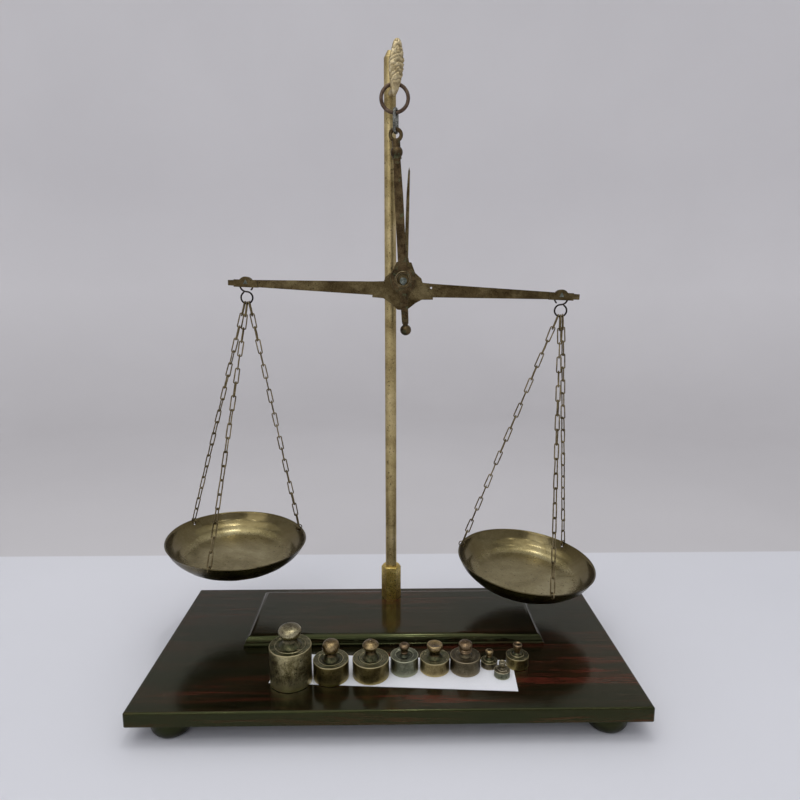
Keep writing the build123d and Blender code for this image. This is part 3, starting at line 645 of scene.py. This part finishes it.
def pan(side_word):
    """Spun brass dish: wall swelling outwards, softened rim, three drilled holes and shallow dents."""
    node = side_word + "_pan"
    mount = MOUNTS[side_word + "_pan_floor"]
    up = Vector(mount["axis"]).normalized()
    wall, depth, rim_r, floor_r, bulge = 0.9 * MM, 16.0 * MM, 55.5 * MM, 43.0 * MM, 1.3 * MM
    inner_bend, outer_bend, hole_drop, hole_r = 13.0 * MM, 8.0 * MM, 2.9 * MM, 1.0 * MM
    centre = Vector(mount["pos_m"]) + up * (depth - wall)
    slope = math.atan2(depth, rim_r - floor_r)
    sides = {"inner": [], "outer": []}
    for side, bend_r, skin in (("inner", inner_bend, wall), ("outer", outer_bend, 0.0)):
        turn_r, turn_z, curl = floor_r - bend_r * math.tan(slope / 2), bend_r - depth, bend_r - skin
        # The last value is a painted-shade tone: the floor stays bright and the bend and wall are painted darker
        # towards the rim.
        for share in (0.0, 0.25, 0.5, 0.75, 0.93):
            sides[side].append((turn_r * share, turn_z - curl, 1.0))
        for step in range(11):
            angle = slope * step / 10
            sides[side].append((turn_r + curl * math.sin(angle), turn_z - curl * math.cos(angle),
                                1.0 - 0.07 * step))
        top_r, top_z = sides[side][-1][:2]
        for share in (0.12, 0.25, 0.38, 0.5, 0.62, 0.75, 0.88, 0.95):
            lift, swell = (-0.3 * MM - top_z) * share, bulge * math.sin(share * math.pi)
            sides[side].append((top_r + lift / math.tan(slope) + swell * math.sin(slope),
                                top_z + lift - swell * math.cos(slope), 0.3 * (1 - share)))
    profile = [(r, z, 0, tone) for r, z, tone in sides["inner"]]
    rim_wall = wall / math.sin(slope)
    profile += [(rim_r - rim_wall, -0.25 * MM, 0, 0.0), (rim_r - rim_wall * 0.8, -0.05 * MM, 0, 0.3),
                (rim_r - rim_wall * 0.5, 0.0, 1, 0.6), (rim_r - rim_wall * 0.2, -0.06 * MM, 1, 0.6),
                (rim_r, -0.35 * MM, 1, 0.4)]
    profile += [(r, z, 1, 0.4) for r, z, _ in reversed(sides["outer"])]
    edit = lathe(profile, 168)
    seed = Vector((7.0, 3.0, 1.0)) if side_word == "left" else Vector((1.0, 9.0, 5.0))
    for vertex in edit.verts:
        flat = Vector((vertex.co.x, vertex.co.y, 0.0))
        near_rim = min(1.0, max(0.0, (rim_r - flat.length) / (6 * MM)))
        dent = noise.noise(flat * 42.0 + seed) * 0.45 + noise.noise(flat * 110.0 + seed) * 0.16
        vertex.co.z += dent * MM * near_rim
        if flat.length > 0:
            bend = noise.noise(flat.normalized() * 1.7 + seed) * 0.35 * MM
            vertex.co += flat.normalized() * bend * (flat.length / rim_r) ** 3
    away = up.to_track_quat("Z", "Y").to_matrix().to_4x4()
    bmesh.ops.recalc_face_normals(edit, faces=edit.faces)
    bmesh.ops.transform(edit, matrix=Matrix.Translation(centre) @ away, verts=edit.verts)
    obj = add_piece(side_word + "_dish", edit, [PAN_INSIDE, PAN_OUTSIDE], node, 45.0)
    for places in loose_parts(side_word + "_rim_rings"):
        middle = Vector(places.mean(0)) - centre
        radial = (middle - up * middle.dot(up)).normalized()
        hole = centre + radial * (rim_r - rim_wall / 2 - hole_drop / math.tan(slope)) - up * hole_drop
        drill(obj, hole, radial * math.sin(slope) - up * math.cos(slope), hole_r, 5 * MM)
    obj.data.name = side_word + "_dish"


def rim_rings(side_word):
    """Small split rings of thin wire through the pan's holes."""
    node = side_word + "_rim_rings"
    edit = bmesh.new()
    for places in loose_parts(node):
        middle = places.mean(0)
        spread = places - middle
        _, _, axes = np.linalg.svd(spread, full_matrices=False)
        reach = spread @ axes.T
        half = (reach.max(0) - reach.min(0)) / 2
        radius = half[2]
        path = []
        for step in range(36):
            angle = 2 * math.pi * step / 36
            size = half[0] - radius
            place = axes[0] * math.cos(angle) * size + axes[1] * math.sin(angle) * size
            path.append(Vector(middle + place) + Vector(axes[2]) * math.sin(angle * 0.5) * 0.00015)
        tube(edit, path, radius, 8)
    add_piece(side_word + "_rim_wire", edit, [FINISHES["chain_brass"]], node, 70.0)


# ---- weights ------------------------------------------------------------------------------------
# Outlines of the knobs, as (share of the radius, share of the height) from the neck to the top.
KNOBS = {
    "mushroom": [(0.62, 0.0), (0.80, 0.14), (0.97, 0.40), (1.0, 0.52), (0.94, 0.72), (0.74, 0.90),
                 (0.40, 0.985), (0.0, 1.0)],
    "ball": [(0.62, 0.0), (0.82, 0.10), (0.96, 0.28), (1.0, 0.47), (0.94, 0.70), (0.72, 0.89),
             (0.38, 0.985), (0.0, 1.0)],
    "lens": [(0.66, 0.0), (0.80, 0.14), (0.97, 0.40), (1.0, 0.50), (0.93, 0.64), (0.66, 0.86),
             (0.34, 0.97), (0.0, 1.0)],
    "dished": [(0.62, 0.0), (0.74, 0.22), (0.93, 0.52), (1.0, 0.76), (0.95, 0.94), (0.80, 1.0), (0.55, 0.93),
               (0.25, 0.88), (0.0, 0.87)],
    "peg": [(0.80, 0.0), (0.74, 0.14), (0.84, 0.36), (1.0, 0.62), (0.95, 0.84), (0.62, 0.98), (0.0, 1.0)],
    "ribbed": [(0.84, 0.0), (0.90, 0.08), (0.84, 0.15), (0.92, 0.24), (0.85, 0.32), (0.92, 0.42), (1.0, 0.60),
               (0.93, 0.82), (0.62, 0.96), (0.3, 0.995), (0.0, 1.0)],
}


def weight(node, style, knob, looks, grooves=(), sink=None, collar=None):
    """Turned weight: drum, top with cut rings, neck and knob.

    knob is its radius and height in mm. Grooves, sink and collar are a share of the way from the
    rim to the neck and a depth or height in mm; a groove of negative depth is a raised ring.
    """
    low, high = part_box(node)
    centre = Vector(((low.x + high.x) / 2, (low.y + high.y) / 2, low.z))
    radius = (high.x - low.x) / 2
    total = high.z - low.z
    places = np.array([v.co for v in NODES[node].data.vertices]) - np.array(centre)
    drum = places[np.hypot(places[:, 0], places[:, 1]) > radius * 0.85][:, 2].max()
    knob_r, knob_h = knob[0] * MM, knob[1] * MM
    edge = min(0.36 * MM, radius * 0.034)
    neck = knob_r * 0.62
    low_knob = total - knob_h
    # The last value of each point is a painted-shade tone: the lower it is, the darker the material paints it.
    profile = [(0.0, 0.0, 0, 0.3), (radius * 0.86, 0.0, 0, 0.3), (radius * 0.9, 0.12 * MM, 0, 0.3),
               (radius - edge, 0.0, 0, 0.5), (radius - edge * 0.3, edge * 0.3, 0, 0.8),
               (radius, edge, 0, 0.7)]
    for share in (0.2, 0.4, 0.6, 0.8):
        profile.append((radius * (1 - 0.004 * math.sin(share * math.pi)), drum * share, 0, 0.62))
    profile += [(radius, drum - edge * 1.4, 0, 0.7), (radius, drum - edge, 0, 1.0),
                (radius - edge * 0.35, drum - edge * 0.3, 1, 1.0), (radius - edge * 1.1, drum, 1, 0.85)]
    steps = 30
    rim, hub = radius - edge * 1.1, min(knob_r, radius * 0.66)
    for index in range(1, steps + 1):
        share = index / steps
        height = 0.0
        tone = 0.62
        # Painted shade in the cut grooves and the sink; raised rings are painted lighter.
        for at, depth in grooves:
            gap = (share - at) * steps
            cut = math.exp(-gap * gap / 0.9)
            height -= depth * cut
            tone += (0.35 if depth < 0 else -0.45) * cut
        if sink and share > sink[0]:
            fall = min(1.0, (share - sink[0]) * 9.0)
            height -= sink[1] * fall
            tone -= 0.3 * fall
        if collar and share > collar[0]:
            height += collar[1] * min(1.0, (share - collar[0]) * 11.0)
        profile.append((rim + (hub - rim) * share, drum + height * MM, 1, max(0.0, tone)))
    base = profile[-1][1]
    # Painted shade on the neck and on the knob where it narrows, lighter where the knob is widest.
    for index in range(1, 9):
        share = index / 8
        profile.append((neck + (hub - neck) * (1 - share) ** 2.2, base + (low_knob - base) * share,
                        1 if share < 0.7 else 2, 0.5 - 0.3 * share))
    for share, height in curve_through(KNOBS[style], 7)[1:]:
        profile.append((max(0.0, share) * knob_r, low_knob + height * knob_h, 2, 0.40 + 0.5 * share))
    profile[-1] = (0.0, profile[-1][1], 2, 0.7)
    edit = lathe(profile, 88)
    lean = chance.uniform(-0.012, 0.012)
    for vertex in edit.verts:
        wobble = noise.noise_vector(vertex.co * 210.0 + centre * 50.0)
        size = min(1.0, vertex.co.z / (0.6 * MM))
        vertex.co += wobble * 0.00007 * size
        vertex.co.x += lean * max(0.0, vertex.co.z - drum)
    bmesh.ops.transform(edit, matrix=Matrix.Translation(centre), verts=edit.verts)
    add_piece(node + "_turned", edit, looks, node, 34.0)


def weight_look(name, dark, mid, light, rough=(0.3, 0.5), spots=0.02, patch=110.0, green=0.0):
    """Aged brass of a weight, worn bright on its edges, with painted shade in its crevices and hollows."""
    return aged_metal(name, dark, mid, light, rough, patch=patch, speck=900.0, spots=spots, painted_shade_tone=True,
                      wear=tuple(min(1.0, c * 1.7) for c in light), green=green, bump=0.4).material


# ---- build the pieces ---------------------------------------------------------------------------
for node in ("beam", "pointer", "shears_front_cheek", "shears_back_cheek", "shears_eye", "shears_tail",
             "front_bearing", "back_bearing"):
    eased(node, 0.2 * MM)
eased("column_socket", 0.2 * MM, edge="socket_edge")
eased("base_board", 0.45 * MM, edge="dark_wood")
eased("plinth", 0.4 * MM, edge="dark_wood")
leaf_hook()
for side_word, side in (("left", -1), ("right", 1)):
    s_hook(side_word, side)
    pan(side_word)
    rim_rings(side_word)
    for part in ("top_links", "chain_outer", "chain_front", "chain_inner"):
        chain(f"{side_word}_{part}")

OLIVE_TOP = weight_look("weight_top_olive", (0.045, 0.050, 0.024), (0.125, 0.118, 0.060),
                        (0.29, 0.25, 0.14), green=0.07, patch=260.0)
BROWN_DRUM = weight_look("weight_drum_brown", (0.055, 0.042, 0.013), (0.155, 0.118, 0.042),
                         (0.28, 0.225, 0.09))
MOTTLED = weight_look("weight_drum_mottled", (0.040, 0.030, 0.010), (0.225, 0.190, 0.088),
                      (0.52, 0.46, 0.26), spots=0.08, patch=120.0)
GREY_DRUM = weight_look("weight_drum_grey", (0.065, 0.072, 0.046), (0.160, 0.168, 0.112),
                        (0.29, 0.295, 0.205))
GOLD_DRUM = weight_look("weight_drum_gold", (0.085, 0.060, 0.022), (0.205, 0.160, 0.070),
                        (0.38, 0.31, 0.15))
DULL_DRUM = weight_look("weight_drum_dull", (0.055, 0.043, 0.024), (0.120, 0.100, 0.060),
                        (0.21, 0.175, 0.11))
BRIGHT_KNOB = weight_look("weight_knob_bright", (0.09, 0.072, 0.038), (0.23, 0.20, 0.115), (0.46, 0.41, 0.26),
                          (0.22, 0.4))
BROWN_KNOB = weight_look("weight_knob_brown", (0.085, 0.055, 0.024), (0.20, 0.145, 0.070), (0.36, 0.27, 0.14),
                         (0.22, 0.4))
COPPER_KNOB = weight_look("weight_knob_copper", (0.070, 0.042, 0.022), (0.165, 0.112, 0.062),
                          (0.30, 0.22, 0.13), (0.22, 0.42))
PALE_KNOB = weight_look("weight_knob_pale", (0.10, 0.082, 0.050), (0.22, 0.19, 0.12), (0.38, 0.34, 0.23),
                        (0.3, 0.5))

weight("weight_a", "mushroom", (7.9, 8.6), [MOTTLED, OLIVE_TOP, BRIGHT_KNOB],
       grooves=[(0.50, 0.14), (0.57, -0.14), (0.8, 0.08)])
weight("weight_b", "ball", (6.0, 8.9), [BROWN_DRUM, OLIVE_TOP, BROWN_KNOB],
       grooves=[(0.16, 0.10), (0.30, 0.10), (0.44, 0.10), (0.58, -0.16)], sink=(0.60, 0.3))
weight("weight_c", "lens", (5.8, 6.6), [BROWN_DRUM, OLIVE_TOP, BROWN_KNOB],
       grooves=[(0.14, 0.12), (0.28, 0.12), (0.42, 0.14), (0.56, 0.14), (0.70, -0.16)])
weight("weight_d", "peg", (3.5, 6.2), [GREY_DRUM, GREY_DRUM, COPPER_KNOB],
       grooves=[(0.34, 0.14)], sink=(0.55, 0.7))
weight("weight_e", "dished", (5.7, 6.7), [GOLD_DRUM, OLIVE_TOP, BROWN_KNOB],
       grooves=[(0.18, 0.12), (0.40, 0.12), (0.62, 0.12)])
weight("weight_f", "ribbed", (4.9, 7.6), [DULL_DRUM, DULL_DRUM, COPPER_KNOB],
       grooves=[(0.34, 0.10), (0.66, -0.10)])
weight("weight_g", "peg", (2.8, 4.4), [DULL_DRUM, OLIVE_TOP, BROWN_KNOB],
       grooves=[(0.4, 0.10)], collar=(0.55, 0.9))
weight("weight_h", "dished", (2.4, 4.0), [GREY_DRUM, PALE_KNOB, PALE_KNOB],
       grooves=[(0.4, 0.10)], collar=(0.5, 0.8))
weight("weight_i", "dished", (3.3, 5.6), [BROWN_DRUM, OLIVE_TOP, COPPER_KNOB],
       grooves=[(0.2, 0.10), (0.4, 0.10)], collar=(0.60, 0.8))

OWN_LOOK = {"hanging_ring": "ring_iron", "suspension_link": "link_steel"}
for name, node in NODES.items():
    if not node.hide_render:
        node.data.materials.clear()
        look = OWN_LOOK.get(name, SLOT_OF[name])
        node.data.materials.append(FINISHES[look])


# ---- floor, light and camera --------------------------------------------------------------------
def studio():
    """Pale floor that sweeps up into a backdrop all round, the backdrop painted lighter with height."""
    finish = Finish("backdrop_paper", roughness=0.9, specular=0.1)
    tone = finish.noise(2.5, 3.0, 0.5)
    near = finish.ramp(tone, [(0.3, (0.70, 0.705, 0.745)), (0.7, (0.73, 0.735, 0.775))])
    low = finish.ramp(tone, [(0.3, (0.535, 0.52, 0.53)), (0.7, (0.565, 0.55, 0.56))])
    high = finish.ramp(tone, [(0.3, (0.71, 0.695, 0.71)), (0.7, (0.74, 0.725, 0.74))])
    split = finish.tree.nodes.new("ShaderNodeSeparateXYZ")
    finish.link(finish.place, split.inputs["Vector"])
    behind = finish.span(split.outputs["Y"], 0.0, 1.0, 0.204, 0.207)
    # Painted light: the backdrop is painted lighter with height, for the light that reaches its foot less. The
    # floor near the stand is paler than the floor beyond y 0.205.
    far = finish.mix(finish.span(split.outputs["Z"], 0.0, 1.0, -0.1, 0.30), low, high)
    finish.colour(finish.mix(behind, near, far))
    finish.bump(finish.noise(900.0, 2.0, 0.5), 0.02, 0.0005)
    edit = bmesh.new()
    floor_r, sweep_r, wall_top, segments = 1.0, 0.6, 1.9, 72
    path = [(0.0, 0.0), (floor_r / 2, 0.0), (floor_r, 0.0)]
    for step in range(1, 13):
        angle = math.radians(90 * step / 12)
        path.append((floor_r + sweep_r * math.sin(angle), sweep_r - sweep_r * math.cos(angle)))
    path.append((floor_r + sweep_r, wall_top))
    rings = []
    for radius, height in path:
        ring = []
        for step in range(1 if radius == 0 else segments):
            angle = 2 * math.pi * step / segments
            ring.append(edit.verts.new((radius * math.cos(angle), radius * math.sin(angle), height)))
        rings.append(ring)
    for inner, outer in zip(rings, rings[1:]):
        for step in range(segments):
            ahead = (step + 1) % segments
            corners = [inner[step % len(inner)], outer[step], outer[ahead], inner[ahead % len(inner)]]
            edit.faces.new(list(dict.fromkeys(corners)))
    mesh = bpy.data.meshes.new("studio_floor")
    edit.to_mesh(mesh)
    edit.free()
    mesh.shade_smooth()
    floor = bpy.data.objects.new("studio_floor", mesh)
    mesh.materials.append(finish.material)
    bpy.context.scene.collection.objects.link(floor)


def lamp(name, place, aim, size, power, colour=(1.0, 1.0, 1.0)):
    """Rectangular soft light aimed at a point."""
    data = bpy.data.lights.new(name, "AREA")
    data.shape = "RECTANGLE"
    data.size, data.size_y = size
    data.energy = power
    data.color = colour
    obj = bpy.data.objects.new(name, data)
    obj.location = place
    obj.rotation_mode = "QUATERNION"
    obj.rotation_quaternion = (Vector(aim) - Vector(place)).to_track_quat("-Z", "Y")
    bpy.context.scene.collection.objects.link(obj)


studio()
lamp("softbox_top", (-0.10, -0.20, 1.75), (0.0, 0.0, 0.0), (1.5, 1.3), 5.5, (1.0, 0.99, 0.97))
lamp("softbox_front", (-0.55, -1.15, 1.0), (0.0, 0.0, 0.2), (0.9, 0.9), 3.2)
lamp("ceiling_lamp", (0.06, -0.02, 1.50), (0.0, 0.0, 0.1), (0.20, 0.06), 1.3)
for index, (x, y, z) in enumerate([(0.06, -0.70, 1.15), (-0.42, -0.70, 1.2), (0.55, -0.65, 1.1)]):
    lamp(f"spot_{index}", (x, y, z), (0.0, 0.0, 0.1), (0.06, 0.06), 0.32)

world = bpy.data.worlds.new("soft_world")
bpy.context.scene.world = world
world.use_nodes = True
world.node_tree.nodes["Background"].inputs["Color"].default_value = (0.97, 0.98, 1.0, 1.0)
world.node_tree.nodes["Background"].inputs["Strength"].default_value = 0.72
bpy.context.scene.view_settings.view_transform = "Standard"
bpy.context.scene.view_settings.look = "None"

CAMERA_PLACE = (0.0051, -0.44537, 0.285355)
CAMERA_DOWN, CAMERA_RIGHT = 9.723, 0.9395  # degrees below level and to the right of +Y
LENS, SENSOR_WIDTH = 27.9, 36.0
camera_data = bpy.data.cameras.new("camera")
camera_data.sensor_width = SENSOR_WIDTH
camera_data.lens = LENS
camera_data.clip_start = 0.01
camera = bpy.data.objects.new("camera", camera_data)
camera.location = CAMERA_PLACE
camera.rotation_euler = (math.radians(90 - CAMERA_DOWN), 0.0, math.radians(-CAMERA_RIGHT))
bpy.context.scene.collection.objects.link(camera)
bpy.context.scene.camera = camera
